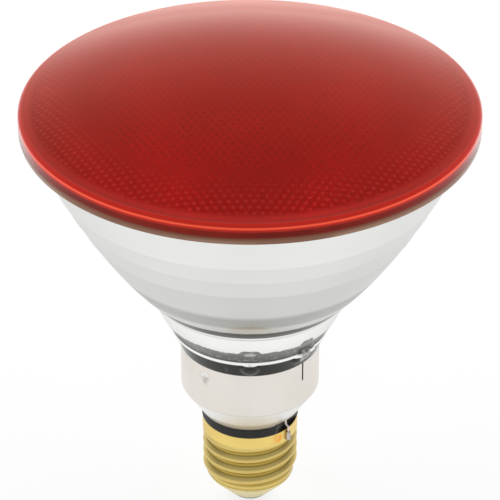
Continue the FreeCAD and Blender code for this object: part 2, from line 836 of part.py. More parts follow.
def base_insulator(doc):
    body = new_body(doc, "base_insulator")
    foot_r = size("insulator_foot_diameter") / 2
    bore_r = size("eyelet_diameter") / 2 + size("eyelet_fit")
    edge_r = size("lip_diameter") / 2 + size("insulator_edge_width")
    plug_r = size("lip_diameter") / 2 - size("shell_wall") - size("insulator_plug_fit")
    edge_z = LIP_Z - size("insulator_edge_height")
    top_z = LIP_Z + size("insulator_plug_rise")
    wall = size("insulator_wall")
    chain = outline(body, "insulator_section", bore_r, FOOT_Z)
    chain.line(foot_r, FOOT_Z)
    chain.line(edge_r, edge_z)
    chain.line(edge_r, LIP_Z)
    chain.line(plug_r, LIP_Z)
    chain.line(plug_r, top_z)
    chain.line(plug_r - wall, top_z)
    chain.line(plug_r - wall, LIP_Z)
    chain.line(bore_r, FOOT_Z + wall)
    revolve(body, chain.close())
    return body


def centre_contact(doc):
    body = new_body(doc, "centre_contact")
    bore_r, tube_r = size("eyelet_bore") / 2, size("eyelet_diameter") / 2
    contact_r = size("contact_diameter") / 2
    chain = outline(body, "contact_section", bore_r, CONTACT_Z)
    chain.line(contact_r, CONTACT_Z)
    chain.line(contact_r, FOOT_Z)
    chain.line(tube_r, FOOT_Z)
    chain.line(tube_r, FOOT_Z + size("eyelet_rise"))
    chain.line(bore_r, FOOT_Z + size("eyelet_rise"))
    revolve(body, chain.close())
    return body


def contact_solder(doc):
    """A drop whose side is an arc that leaves the flat at its foot without a corner."""
    body = new_body(doc, "contact_solder")
    solder_r, flat_r = size("solder_diameter") / 2, size("solder_flat_diameter") / 2
    width = solder_r - flat_r
    chord = root(width * width + CONTACT_Z * CONTACT_Z)
    bulge = chord * (chord - width) / (2 * CONTACT_Z)
    middle = (flat_r + width / 2 + bulge * CONTACT_Z / chord, CONTACT_Z / 2 - bulge * width / chord)
    chain = outline(body, "solder_section", 0, CONTACT_Z)
    chain.line(0, 0)
    chain.line(flat_r, 0)
    chain.arc(middle, (solder_r, CONTACT_Z))
    revolve(body, chain.close())
    return body


# Wires from the ferrules to the contact and to the collar

def centre_lead(doc):
    bend_z = FERRULE_BOTTOM_Z - size("wire_first_bend")
    route = [
        (LEAD_R, FERRULE_BOTTOM_Z),
        (LEAD_R, bend_z),
        (0, bend_z - size("centre_wire_slope")),
        (0, CONTACT_Z),
    ]
    return wire_body(doc, "centre_lead", "XZ_Plane", route, size("wire_diameter"), size("lead_turn") + 90)


def side_wire_radius():
    return COLLAR_R + size("wire_diameter") / 2 + size("wire_gap")


def side_lead(doc):
    wire, gap = size("wire_diameter"), size("wire_gap")
    lean = size("notch_turn") - size("lead_turn")
    flat_r = size("flat_distance") / cosine(lean) + wire / 2 + gap
    bend_z = FERRULE_BOTTOM_Z - size("wire_first_bend")
    route = [
        (LEAD_R, FERRULE_BOTTOM_Z),
        (LEAD_R, bend_z),
        (flat_r, bend_z - size("side_wire_slope")),
        (flat_r, RING_Z + 2 * wire),
        (side_wire_radius(), RING_Z + wire),
        (side_wire_radius(), RING_Z - size("side_wire_tail")),
    ]
    return wire_body(doc, "side_lead", "XZ_Plane", route, wire, size("lead_turn") - 90)


def side_solder(doc):
    body = new_body(doc, "solder_drop")
    wire_r, drop_r = size("wire_diameter") / 2, size("side_solder_radius")
    end_z = RING_Z - size("side_wire_tail")
    low_z, top_z = end_z - drop_r, end_z - drop_r + size("side_solder_height")
    chain = outline(body, "drop_section", 0, low_z)
    chain.arc((drop_r * DIAGONAL, low_z + drop_r * (1 - DIAGONAL)), (drop_r, end_z))
    chain.line(wire_r + drop_r / 4, top_z)
    chain.line(wire_r, top_z)
    chain.line(wire_r, end_z)
    chain.line(0, end_z)
    revolve(body, chain.close())
    stand_at(body, size("lead_turn"), out=side_wire_radius())
    core = primitive(doc, "Cylinder", "collar_core", Radius=COLLAR_R, Height=NECK_Z)
    return cut(doc, "side_solder", body, [core])


def make_sub_parts(doc):
    return [
        front_lens(doc),
        reflector(doc),
        exhaust_tube(doc),
        ferrule(doc, "ferrule_side", size("lead_turn")),
        ferrule(doc, "ferrule_centre", size("lead_turn") + 180),
        lead_post(doc, "lead_post_side", size("lead_turn") - 90),
        lead_post(doc, "lead_post_centre", size("lead_turn") + 90),
        post_bridge(doc),
        filament_hook(doc),
        filament(doc),
        cap_skirt(doc),
        insulating_ring(doc),
        screw_shell(doc),
        base_insulator(doc),
        centre_contact(doc),
        contact_solder(doc),
        centre_lead(doc),
        side_lead(doc),
        side_solder(doc),
    ]


def check(doc, sub_parts):
    failed = [
        thing.Label for thing in doc.Objects
        if "Invalid" in thing.State or "Error" in thing.State
    ]
    if failed:
        raise RuntimeError("not built: " + ", ".join(failed))
    for thing in sub_parts:
        if thing.Shape.isNull() or not thing.Shape.isValid() or not thing.Shape.Solids:
            raise RuntimeError("no valid solid: " + thing.Label)


def main():
    doc = FreeCAD.newDocument("heat_lamp")
    make_sheet(doc)
    sub_parts = make_sub_parts(doc)
    doc.recompute()
    check(doc, sub_parts)
    os.makedirs("parts", exist_ok=True)
    for thing in sub_parts:
        thing.Shape.exportStep(f"parts/{thing.Label}.step")
        volume = thing.Shape.Volume / 1000
        print(f"{thing.Label}: {len(thing.Shape.Solids)} solid, {volume:.3f} cm3")


main()
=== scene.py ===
import math

import bpy
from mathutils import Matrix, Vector


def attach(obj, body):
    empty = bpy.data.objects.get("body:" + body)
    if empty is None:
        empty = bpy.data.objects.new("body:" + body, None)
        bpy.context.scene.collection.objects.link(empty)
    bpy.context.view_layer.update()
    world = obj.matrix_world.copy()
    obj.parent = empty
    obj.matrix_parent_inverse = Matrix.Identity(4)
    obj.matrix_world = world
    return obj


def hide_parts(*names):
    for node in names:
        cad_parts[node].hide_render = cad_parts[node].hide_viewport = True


# Infrared heat lamp bulb: red pressed glass lens, silvered glass bowl, aluminium skirt, brass screw cap.
# Profiles are written in millimetres as (radius, height) above the tip of the contact.
# Turns round the lamp's axis are in degrees from the front, growing towards +X.

mm = 0.001
mmPerMetre = 1000
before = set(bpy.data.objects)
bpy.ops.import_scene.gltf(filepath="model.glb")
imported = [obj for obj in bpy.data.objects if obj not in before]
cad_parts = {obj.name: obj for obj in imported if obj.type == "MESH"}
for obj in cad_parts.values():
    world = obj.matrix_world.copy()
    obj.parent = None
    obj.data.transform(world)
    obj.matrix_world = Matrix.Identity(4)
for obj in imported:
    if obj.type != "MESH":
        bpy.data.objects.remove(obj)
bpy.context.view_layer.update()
print("frame:", len(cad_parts), "nodes")


# Shader maths

class Value:
    # a node's output that can be used in sums
    def __init__(self, nodes, socket):
        self.nodes = nodes
        self.socket = socket

    def maths(self, operation, *values):
        return self.nodes.add("Math", {"operation": operation}, dict(enumerate(values)))

    def __add__(self, other):
        return self.maths("ADD", self, other)

    __radd__ = __add__

    def __sub__(self, other):
        return self.maths("SUBTRACT", self, other)

    def __rsub__(self, other):
        return self.maths("SUBTRACT", other, self)

    def __mul__(self, other):
        return self.maths("MULTIPLY", self, other)

    __rmul__ = __mul__

    def __truediv__(self, other):
        return self.maths("DIVIDE", self, other)

    def __rtruediv__(self, other):
        return self.maths("DIVIDE", other, self)

    def wave(self):
        return self.maths("COSINE", self)

    def root(self):
        return self.maths("SQRT", self)

    def turnFrom(self, other):
        return self.maths("ARCTAN2", self, other)

    def rise(self, low, high, kind="SMOOTHSTEP"):
        # 0 below low and 1 above high; with low above high it falls instead
        ends = {0: self, 1: low, 2: high, 3: 0.0, 4: 1.0}
        return self.nodes.add("MapRange", {"interpolation_type": kind}, ends)

    def band(self, low, high, soft):
        return self.rise(low - soft, low + soft) * self.rise(high + soft, high - soft)


class Nodes:
    def __init__(self, tree):
        self.tree = tree

    def feed(self, socket, value):
        if isinstance(value, Value):
            self.tree.links.new(value.socket, socket)
        else:
            socket.default_value = value

    def add(self, kind, settings={}, sockets={}, output=0):
        node = self.tree.nodes.new("ShaderNode" + kind)
        for name, value in settings.items():
            setattr(node, name, value)
        for name, value in sockets.items():
            self.feed(node.inputs[name], value)
        return Value(self, node.outputs[output])

    def axis(self, place, number):
        return self.add("SeparateXYZ", {}, {0: place}, number)

    def rays(self):
        # 1 for a ray from the camera, one mirrored by a surface, and one that passes through glass
        kinds = ("Is Camera Ray", "Is Glossy Ray", "Is Transmission Ray")
        return [self.add("LightPath", output=kind) for kind in kinds]


class Finish(Nodes):
    # a material with one Principled shader, and the readings its patterns are made of
    def __init__(self, name, look):
        self.material = bpy.data.materials.new(name)
        self.material.use_nodes = True
        Nodes.__init__(self, self.material.node_tree)
        self.shader = self.tree.nodes["Principled BSDF"]
        for socket, value in look.items():
            self.set(socket, value)
        self.place = self.add("TexCoord", output="Object")
        self.x, self.y, self.z = (mmPerMetre * self.axis(self.place, number) for number in range(3))
        self.radius = (self.x * self.x + self.y * self.y).root()
        self.turn = self.x.turnFrom(0 - self.y) * (180 / math.pi)

    def set(self, socket, value):
        self.feed(self.shader.inputs[socket], value)

    def noise(self, scale, detail=3, rough=0.5, stretch=None):
        place = self.place
        if stretch:
            place = self.add("Mapping", {}, {"Vector": self.place, "Scale": stretch})
        sockets = {"Scale": scale, "Detail": detail, "Roughness": rough, "Vector": place}
        return self.add("TexNoise", {}, sockets)

    def mix(self, factor, first, second):
        # sockets 6 and 7 and output 2 are the ones for colours
        return self.add("Mix", {"data_type": "RGBA"}, {0: factor, 6: first, 7: second}, 2)

    def grazing(self, low, high):
        # 0 where the surface faces the viewer and 1 at its outline
        return self.add("LayerWeight", {}, {"Blend": 0.5}, "Facing").rise(low, high)

    def bump(self, height, distance, strength=1.0):
        return self.add("Bump", {}, {"Height": height, "Distance": distance, "Strength": strength})

    def near(self, turn, height, wide, tall, core=0.4):
        # 1 in the core of a spot on the wall, 0 outside it
        across, up = (self.turn - turn) / wide, (self.z - height) / tall
        return (across * across + up * up).rise(1.0, core)

    def nearBoth(self, turn, height, wide, tall):
        # the same spot here and on the lamp's other side; turns run from -180 to 180
        other = turn - 180 if turn > 0 else turn + 180
        return self.near(turn, height, wide, tall) + self.near(other, height, wide, tall)


def paint(red, green, blue):
    # a colour as it is seen on the screen, 0 to 255
    def linear(value):
        value /= 255
        return value / 12.92 if value <= 0.04045 else ((value + 0.055) / 1.055) ** 2.4

    return (linear(red), linear(green), linear(blue), 1.0)


glassIor = 1.5
black = (0, 0, 0, 1)


# Modelling helpers

latheGap = 0.004 * mm  # points of a turned piece that are nearer than this become one
copyGap = 0.002 * mm  # the same for a copied node


def deselectAll():
    if bpy.context.object and bpy.context.object.mode == "EDIT":
        bpy.ops.object.mode_set(mode="OBJECT")
    bpy.ops.object.select_all(action="DESELECT")


def select(piece):
    deselectAll()
    piece.select_set(True)
    bpy.context.view_layer.objects.active = piece


def along(start, end, count):
    # the points of a straight run, end points included
    (fromR, fromZ), (toR, toZ) = start, end
    points = []
    for i in range(count + 1):
        points.append((fromR + (toR - fromR) * i / count, fromZ + (toZ - fromZ) * i / count))
    return points


def curveThrough(start, middle, end, count):
    # a smooth run through three points
    points = []
    for i in range(count + 1):
        t = i / count
        a, b, c = (1 - t) * (1 - 2 * t), 4 * t * (1 - t), t * (2 * t - 1)
        points.append(tuple(a * p + b * q + c * r for p, q, r in zip(start, middle, end)))
    return points


def lathe(name, profile, steps):
    # one vertex is extruded along the profile, and the line is turned round the axis
    deselectAll()
    radius, height = profile[0]
    bpy.ops.mesh.primitive_plane_add(size=mm)
    piece = bpy.context.object
    piece.name = piece.data.name = name
    bpy.ops.object.mode_set(mode="EDIT")
    bpy.ops.mesh.merge(type="CENTER")
    bpy.ops.transform.translate(value=(radius * mm, 0, height * mm))
    for nextRadius, nextHeight in profile[1:]:
        step = ((nextRadius - radius) * mm, 0, (nextHeight - height) * mm)
        bpy.ops.mesh.extrude_vertices_move(TRANSFORM_OT_translate={"value": step})
        radius, height = nextRadius, nextHeight
    bpy.ops.object.mode_set(mode="OBJECT")
    turned = piece.modifiers.new("turn", "SCREW")
    turned.steps = turned.render_steps = steps
    bpy.ops.object.modifier_apply(modifier="turn")
    bpy.ops.object.mode_set(mode="EDIT")
    bpy.ops.mesh.select_all(action="SELECT")
    bpy.ops.mesh.remove_doubles(threshold=latheGap)
    bpy.ops.mesh.normals_make_consistent(inside=False)
    bpy.ops.object.mode_set(mode="OBJECT")
    return piece


def onLamp(turn, radius, height):
    angle = math.radians(turn)
    return Vector((math.sin(angle) * radius, -math.cos(angle) * radius, height)) * mm


def press(piece, turn, radius, height, depth, reach, falloff="SMOOTH"):
    # pushes the wall in, or out where depth is negative, round one spot
    select(piece)
    spot = onLamp(turn, radius, height)
    nearest = min(piece.data.vertices, key=lambda corner: (corner.co - spot).length_squared).index
    bpy.ops.object.mode_set(mode="EDIT")
    bpy.ops.mesh.select_mode(type="VERT")
    bpy.ops.mesh.select_all(action="DESELECT")
    bpy.ops.object.mode_set(mode="OBJECT")
    piece.data.vertices[nearest].select = True
    bpy.ops.object.mode_set(mode="EDIT")
    bpy.ops.transform.translate(
        value=onLamp(turn, -depth, 0), use_proportional_edit=True,
        proportional_edit_falloff=falloff, proportional_size=reach * mm,
    )
    bpy.ops.object.mode_set(mode="OBJECT")


def pressBoth(piece, turn, radius, marks, falloff="SMOOTH"):
    # the same marks on both sides, each with its turn from the middle, height, depth and reach
    for middle in (turn, turn + 180):
        for aside, height, depth, reach in marks:
            press(piece, middle + aside, radius, height, depth, reach, falloff)


def carve(piece, tool):
    # takes a closed tool away from a piece
    select(piece)
    cut = piece.modifiers.new("cut", "BOOLEAN")
    cut.operation = "DIFFERENCE"
    cut.solver = "EXACT"
    cut.object = tool
    bpy.ops.object.modifier_apply(modifier="cut")
    bpy.data.objects.remove(tool)


def block(turn, radius, height, wide, deep, tall):
    # a box whose middle stands out from the axis, square to it
    deselectAll()
    bpy.ops.mesh.primitive_cube_add(size=1)
    tool = bpy.context.object
    tool.scale = (wide * mm, deep * mm, tall * mm)
    tool.rotation_euler = (0, 0, math.radians(turn))
    tool.location = onLamp(turn, radius, height)
    bpy.ops.object.transform_apply(location=True, rotation=True, scale=True)
    return tool


def copyNode(node, name):
    # a copy of a CAD node with its loose triangles merged
    piece = bpy.data.objects.new(name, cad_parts[node].data.copy())
    piece.data.name = name
    bpy.context.scene.collection.objects.link(piece)
    select(piece)
    if piece.data.has_custom_normals:
        bpy.ops.mesh.customdata_custom_splitnormals_clear()
    bpy.ops.object.mode_set(mode="EDIT")
    bpy.ops.mesh.select_all(action="SELECT")
    bpy.ops.mesh.remove_doubles(threshold=copyGap)
    bpy.ops.object.mode_set(mode="OBJECT")
    return piece


def middleOf(face):
    # radius and height of a face's middle
    return math.hypot(face.center.x, face.center.y) / mm, face.center.z / mm


def dress(piece, node, slotName, finishes, angle, finishOf=None):
    # smooths a finished piece, gives it its finishes and puts it on the frame
    select(piece)
    piece.data.materials.clear()
    for finish in finishes:
        piece.data.materials.append(finish.material)
    for face in piece.data.polygons:
        face.material_index = finishOf(face) if finishOf else 0
    bpy.ops.object.shade_smooth_by_angle(angle=math.radians(angle))
    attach(piece, "root")
    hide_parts(node)
    print("piece:", piece.name, len(piece.data.polygons), "faces")


# Front lens

lens = {
    "crown": 136.016, "domeRadius": 179.55, "rim": 60.5, "seam": 122.32, "wall": 3.5,
    "steps": 480, "domeRings": 40, "innerRings": 108,
    "edgeRound": 1.25, "edgeDrop": 0.9, "edgeIn": 0.22, "edgeDip": 0.12, "edgeRings": 8,
    "sealIn": 0.35, "sealDown": 0.5, "innerEdge": 1.0,
    "dimplePitch": 2.1, "dimpleDepth": 0.16, "dimpleMargin": 1.5, "dimpleReach": 0.2,
    "ruby": (0.53, 0.008, 0.01, 1), "rubyDark": (0.44, 0.006, 0.008, 1), "rubyDot": (0.24, 0.003, 0.005, 1),
    "rubyRing": (0.84, 0.06, 0.05, 1), "rubyClear": (0.95, 0.14, 0.12, 1),
    "glow": (1, 0.21, 0.1, 1), "wallGlow": (1, 0.6, 0.57, 1),
    "stripe": paint(255, 78, 48), "stripePale": paint(255, 140, 108), "wallLitTop": paint(190, 40, 30),
    "wallRed": paint(134, 27, 12), "wallDark": paint(112, 20, 8),
    # each zone has where a colour starts and where it is full, and a band also how soft its ends are
    "dotZone": (0.35, 0.9), "highlightZone": (40, 56), "highlightEnd": (57.5, 56.5),
    "ringZone": (56.3, 58.4), "clearZone": (58.8, 60.2), "wallLitTopZone": (123.5, 124.2),
    "stripeBand": (124.45, 125.1, 0.14), "stripePaleBand": (124.75, 124.9, 0.07),
    "dotShade": 0.42, "dotHighlight": 0.5, "ringLight": 0.7,
    "glossZone": (0.58, 0.8), "gloss": 0.6, "wallGlossZone": (0.55, 0.85), "wallGloss": 0.55,
}


def domeHeight(radius, inset=0.0):
    ball = lens["domeRadius"] - inset
    return lens["crown"] - lens["domeRadius"] + math.sqrt(ball * ball - radius * radius)


def dimples(x, y, wave):
    # height of a close honeycomb of dimples, 0 to 1, for numbers or for a finish's readings
    # three rows of waves, a third of a turn apart, add up to between -1.5 and 3
    k = 4 * math.pi / (math.sqrt(3) * lens["dimplePitch"])
    slant = math.sin(math.pi / 3) * x
    rows = (y, slant - y / 2, 0 - slant - y / 2)
    return (sum(wave(k * row) for row in rows) + 1.5) / 4.5


def lensFinish():
    settings = {"Roughness": 0.03, "IOR": glassIor, "Transmission Weight": 0.6}
    glow = {"Sheen Weight": 1.0, "Sheen Roughness": 0.4, "Sheen Tint": lens["glow"]}
    finish = Finish("ruby lens glass", {**settings, **glow})
    radius = finish.radius
    cloud = finish.noise(26, 4, 0.55)
    mottle = finish.noise(300, 1, 0.5).rise(0.3, 0.7)
    colour = finish.mix(cloud.rise(0.35, 0.7), lens["ruby"], lens["rubyDark"])
    colour = finish.mix(mottle * 0.25, colour, lens["rubyDark"])
    # the dimples of the inside are painted as dots: dark dots of painted shade, and near the rim pale dots
    # of painted highlight
    dots = dimples(finish.x, finish.y, Value.wave).rise(*lens["dotZone"])
    pale = radius.rise(*lens["highlightZone"]) * radius.rise(*lens["highlightEnd"])
    colour = finish.mix(dots * lens["dotShade"] * (1 - pale), colour, lens["rubyDot"])
    colour = finish.mix(dots * lens["dotHighlight"] * pale, colour, lens["rubyRing"])
    # beside the rim light comes in from outside
    colour = finish.mix(radius.rise(*lens["ringZone"]) * lens["ringLight"], colour, lens["rubyRing"])
    colour = finish.mix(radius.rise(*lens["clearZone"]), colour, lens["rubyClear"])
    finish.set("Base Color", colour)
    finish.set("Coat Weight", finish.grazing(*lens["glossZone"]) * lens["gloss"])
    return finish


def lensWallFinish():
    settings = {"Roughness": 0.08, "IOR": glassIor, "Specular IOR Level": 0.1}
    glow = {"Sheen Weight": 1.0, "Sheen Roughness": 0.34, "Sheen Tint": lens["wallGlow"]}
    finish = Finish("ruby lens edge", {**settings, **glow})
    z = finish.z
    streak = finish.noise(40, 3, 0.6, (1, 1, 0.15))
    colour = finish.mix(streak.rise(0.35, 0.7), lens["wallRed"], lens["wallDark"])
    # painted light: the top of the wall is brighter red, below the lit edge
    colour = finish.mix(z.rise(*lens["wallLitTopZone"]), colour, lens["wallLitTop"])
    # light runs round the edge as an orange stripe
    colour = finish.mix(z.band(*lens["stripeBand"]), colour, lens["stripe"])
    colour = finish.mix(z.band(*lens["stripePaleBand"]) * 0.5, colour, lens["stripePale"])
    finish.set("Base Color", colour)
    finish.set("Coat Weight", finish.grazing(*lens["wallGlossZone"]) * lens["wallGloss"])
    return finish


def innerLensFinish():
    settings = {"Roughness": 0.32, "IOR": glassIor, "Transmission Weight": 0.85}
    finish = Finish("ruby lens inside", settings)
    finish.set("Base Color", finish.mix(finish.noise(60), lens["rubyClear"], lens["ruby"]))
    pattern = dimples(finish.x, finish.y, Value.wave)
    finish.set("Normal", finish.bump(pattern, lens["dimpleDepth"] * mm))
    return finish


def makeLens():
    rim, edge, seam, thick = lens["rim"], lens["edgeRound"], lens["seam"], lens["wall"]
    inner, turnIn, shoulder = rim - thick, rim - edge, domeHeight(rim)
    dome = []
    for i in range(lens["domeRings"] + 1):
        r = turnIn * i / lens["domeRings"]
        dome.append((r, domeHeight(r)))
    middle = (rim - edge * lens["edgeIn"], shoulder - lens["edgeDip"])
    low = shoulder - edge * lens["edgeDrop"]
    dome += curveThrough(dome[-1], middle, (rim, low), lens["edgeRings"])[1:]
    wall = along((rim, low), (rim, seam), 5)[1:] + along((rim, seam), (inner, seam), 3)[1:]
    corner = (inner - lens["sealIn"], domeHeight(inner, thick) - lens["sealDown"])
    inside = along((inner, seam), corner, 2)[1:]
    for i in range(lens["innerRings"], -1, -1):
        r = (inner - lens["innerEdge"]) * i / lens["innerRings"]
        inside.append((r, domeHeight(r, thick)))
    piece = lathe("lensGlass", dome + wall + inside, lens["steps"])
    for point in piece.data.vertices:  # the dimples pressed in the inside
        x, y, z = point.co / mm
        r = math.hypot(x, y)
        onInside = z < domeHeight(min(r, rim), thick) + lens["dimpleReach"]
        if onInside and r < inner - lens["dimpleMargin"]:
            point.co.z -= lens["dimpleDepth"] * dimples(x, y, math.cos) * mm

    def finishOf(face):
        r, z = middleOf(face)
        if r > turnIn - 0.4 and z < shoulder + 0.35:  # the wall with its rounded edge
            return 1
        return 0 if z > domeHeight(min(r, rim), thick / 2) else 2

    finishes = [lensFinish(), lensWallFinish(), innerLensFinish()]
    dress(piece, "front_lens", "red_glass", finishes, 35, finishOf)


makeLens()


# Reflector: flange, bowl, neck and plug in one piece of glass

bowl = {
    "focus": 12.38, "apex": 59.8, "wall": 3.0, "mouth": 55.64, "rim": 60.5, "seam": 122.3, "steps": 320,
    "innerRings": 30, "outerRings": 110, "outerTop": 54.4, "outerLow": 25.0,
    "flangeLow": 120.22,
    "flangeEdge": ((60.5, 0.5), (60.4, 0.12), (60.1, 0), (58.6, 0), (58.0, -0.15)),  # heights from its foot
    "shades": {107.7: 0.07, 101.6: 0.05, 95.0: 0.08},  # heights of the steps, and how much darker each is
    "ridge": 0.14, "ridgeWidth": 0.7, "shadeSoft": 0.7,
    "groove": ((26.95, 70.3), (26.35, 70.05), (26.1, 69.75), (26.12, 69.4), (26.3, 69.1)),
    "swell": ((26.3, 69.1), (24.95, 65.0), (22.3, 60.6)),
    "bead": ((21.8, 59.5), (21.5, 59.15), (21.62, 58.75), (21.68, 58.35), (21.55, 58.0), (21.1, 57.65)),
    "taper": ((20.95, 57.53), (19.35, 53.2)), "neckEnd": ((19.2, 53.0), (18.3, 53.0)),
    "plug": ((18.3, 53.0), (18.3, 41.5)), "plugInside": ((15.1, 41.5), (15.1, 56.3), (0, 56.3)),
    # the lumps of the glass: a boss in front and a lug beside it, each with a twin on the other side
    "bossHeight": 55.9, "bossRadius": 20.2, "bossPress": (-0.8, 2.6),  # depth and reach
    "lugTurn": 43, "lugRadius": 20.6, "lugPresses": ((-2, 57.0, -0.9, 2.6), (5, 57.6, -0.6, 2.2)),
    "silver": (0.885, 0.89, 0.875, 1), "white": (0.93, 0.93, 0.92, 1), "grey": (0.085, 0.085, 0.08, 1),
    "mirror": (0.9, 0.9, 0.89, 1), "mirrorDark": (0.82, 0.82, 0.81, 1), "edgeTint": (0.79, 0.79, 0.78, 1),
    "tan": paint(158, 124, 103), "brown": paint(130, 90, 71), "redSeamAndLight": paint(122, 52, 36),
    "rimEdgeHighlight": paint(172, 150, 136), "rimGlow": (1, 0.93, 0.9, 1),
    "glassOverShade": paint(34, 34, 31), "lugGrey": paint(150, 148, 143), "lugPale": paint(196, 194, 188),
    # zones and bands as in the lens
    "brownZone": (120.9, 121.7), "redZone": (121.6, 122.2), "highlightZone": (120.4, 120.22),
    "ringTop": (85.2, 82.4), "ringLow": (76.8, 78.6), "ringShade": 0.33,
    "lineBand": (70.8, 74.4, 0.25), "lineRagged": (71.5, 73.5), "lineDark": (72.6, 73.4), "lineShade": 0.86,
    "swellHighlightTop": (70.4, 70.8), "greyPale": (61.4, 63.6), "beadBand": (57.75, 58.9, 0.15),
    "glintBand": (53.4, 56.5, 0.6),
    # the coating ends in a ragged line, with patches that are given by their width and height
    "coatEnd": 63.6, "coatSoft": 0.2, "tuftTurn": 38.5, "tuft": (5.5, 3.6), "mound": (7.5, 3.2),
    "humpDrop": 0.7, "hump": (4.6, 0.9), "bossOuter": (7.8, 2.1), "bossInner": (6.6, 1.75),
    "lugOnCoat": (57.6, 5.4, 2.8), "lugOnNeck": (57.4, 5.4, 2.6),  # with the height first
    "gloss": 0.6, "glossLostInLine": 0.42, "glossLostAtEdge": 0.36, "edgeZone": (0.72, 0.94),
}


def bowlInside(radius):
    return radius, bowl["apex"] + radius * radius / (4 * bowl["focus"])


def bowlOutside(radius):
    # square across the wall from a point on the inside, with a low ridge at each step of the mould
    focus, wall = bowl["focus"], bowl["wall"]
    slope = math.hypot(radius, 2 * focus)
    r, z = bowlInside(radius)
    r, z = r + wall * radius / slope, z - 2 * focus * wall / slope
    for height in bowl["shades"]:
        r += bowl["ridge"] * math.exp(-((z - height) / bowl["ridgeWidth"]) ** 2)
    return r, z


def lugColour(finish, fleck):
    return finish.mix(fleck, bowl["lugGrey"], bowl["lugPale"])


def silveredFinish():
    settings = {"Metallic": 1.0, "IOR": glassIor, "Specular Tint": bowl["edgeTint"]}
    coat = {"Coat Roughness": 0.04, "Coat IOR": glassIor}
    finish = Finish("silvered glass", {**settings, **coat})
    z, end, soft = finish.z, bowl["coatEnd"], bowl["shadeSoft"]
    ragged = finish.noise(420, 5, 0.7, (1, 1, 0.6)) * 2 - 1
    drift = finish.noise(60, 2, 0.5) * 2 - 1
    cloud = finish.noise(34)
    # rings of painted shade on the bowl, and a dark line of painted shade over the groove
    shade = 0.1 * cloud
    for height, darker in bowl["shades"].items():
        shade = shade + darker * (z + drift * 0.3).rise(height + soft, height - soft)
    ring = z.rise(*bowl["ringTop"]) * z.rise(*bowl["ringLow"])
    shade = shade + (bowl["ringShade"] + 0.08 * ragged) * ring
    line = (z + ragged * 0.4 * z.rise(*bowl["lineRagged"])).band(*bowl["lineBand"])
    shade = shade + line * (bowl["lineShade"] + 0.1 * z.rise(*bowl["lineDark"]))
    silver = finish.mix(shade, bowl["silver"], black)
    # painted highlight: below the dark line the swell is whiter than the rest of the silver
    silver = finish.mix(z.rise(*bowl["swellHighlightTop"]), bowl["white"], silver)
    # the coating ends above the bead, with a tuft over each lug and a mound over the boss
    tuft = finish.nearBoth(bowl["tuftTurn"], end, *bowl["tuft"])
    mound = finish.near(0, end, *bowl["mound"])
    edge = z + ragged * 0.9 + drift * 0.5 - 1.8 * tuft - 1.3 * mound
    coated = edge.rise(end - bowl["coatSoft"], end + bowl["coatSoft"])
    # below it the glass is grey, with a pale hump, and the bead is painted white, partly as coating and
    # partly as a painted highlight
    fleck = finish.noise(800, 4, 0.7).rise(0.5, 0.72)
    grey = finish.mix(z.rise(*bowl["greyPale"]) * 0.12 + fleck * 0.3, bowl["grey"], bowl["silver"])
    hump = finish.near(0, end - bowl["humpDrop"], *bowl["hump"])
    grey = finish.mix(hump * 0.4, grey, bowl["white"])
    bead = (z + drift * 0.1).band(*bowl["beadBand"])
    lug = finish.nearBoth(bowl["lugTurn"], *bowl["lugOnCoat"])
    colour = finish.mix(bead, finish.mix(coated, grey, silver), bowl["white"])
    finish.set("Base Color", finish.mix(lug * 0.8, colour, lugColour(finish, fleck)))
    lostInLine = bowl["glossLostInLine"] * line
    lostAtEdge = bowl["glossLostAtEdge"] * finish.grazing(*bowl["edgeZone"]) * (1 - line)
    finish.set("Coat Weight", bowl["gloss"] - lostInLine - lostAtEdge)
    finish.set("Roughness", 0.26 + cloud * 0.06 + 0.12 * (1 - coated) * (1 - bead))
    finish.set("Normal", finish.bump(cloud + 0.15 * ragged, 0.2 * mm, 0.22))
    return finish


def neckFinish():
    # bare glass over the dark inside of the neck, painted dark for the shade seen through it
    finish = Finish("dark neck glass", {"Roughness": 0.14, "IOR": glassIor, "Specular IOR Level": 0.22})
    # pale streaks on the dark glass are painted glints
    streak = finish.noise(150, 3, 0.6, (1, 1, 0.2)).rise(0.6, 0.75) * finish.z.band(*bowl["glintBand"])
    colour = finish.mix(streak * 0.3, bowl["glassOverShade"], bowl["lugPale"])
    # a faint line of light round each boss
    boss = bowl["bossHeight"]
    edge = finish.nearBoth(0, boss, *bowl["bossOuter"]) - finish.nearBoth(0, boss, *bowl["bossInner"])
    colour = finish.mix(edge * 0.09, colour, bowl["lugPale"])
    fleck = finish.noise(800, 4, 0.7).rise(0.4, 0.7)
    lug = finish.nearBoth(bowl["lugTurn"], *bowl["lugOnNeck"])
    finish.set("Base Color", finish.mix(lug, colour, lugColour(finish, fleck)))
    return finish


def flangeFinish():
    # the brown fused rim under the lens
    settings = {"Roughness": 0.3, "IOR": glassIor, "Specular IOR Level": 0.1}
    glow = {"Sheen Weight": 0.9, "Sheen Roughness": 0.3, "Sheen Tint": bowl["rimGlow"]}
    finish = Finish("brown fused rim", {**settings, **glow})
    z = finish.z
    streak = finish.noise(48, 3, 0.5, (1, 1, 0.2)).rise(0.35, 0.7)
    colour = finish.mix(streak, bowl["tan"], bowl["brown"])
    colour = finish.mix(z.rise(*bowl["brownZone"]), colour, bowl["brown"])
    # the top of the flange is painted red: the fused seam, and painted light from the red lens above it
    colour = finish.mix(z.rise(*bowl["redZone"]), colour, bowl["redSeamAndLight"])
    # the lower edge of the flange is painted pale, a painted highlight
    finish.set("Base Color", finish.mix(z.rise(*bowl["highlightZone"]), colour, bowl["rimEdgeHighlight"]))
    return finish


def mirrorFinish():
    finish = Finish("bowl mirror coating", {"Metallic": 1.0})
    finish.set("Base Color", finish.mix(finish.noise(60), bowl["mirror"], bowl["mirrorDark"]))
    finish.set("Roughness", 0.1 + finish.noise(200, 3, 0.6) * 0.1)
    return finish


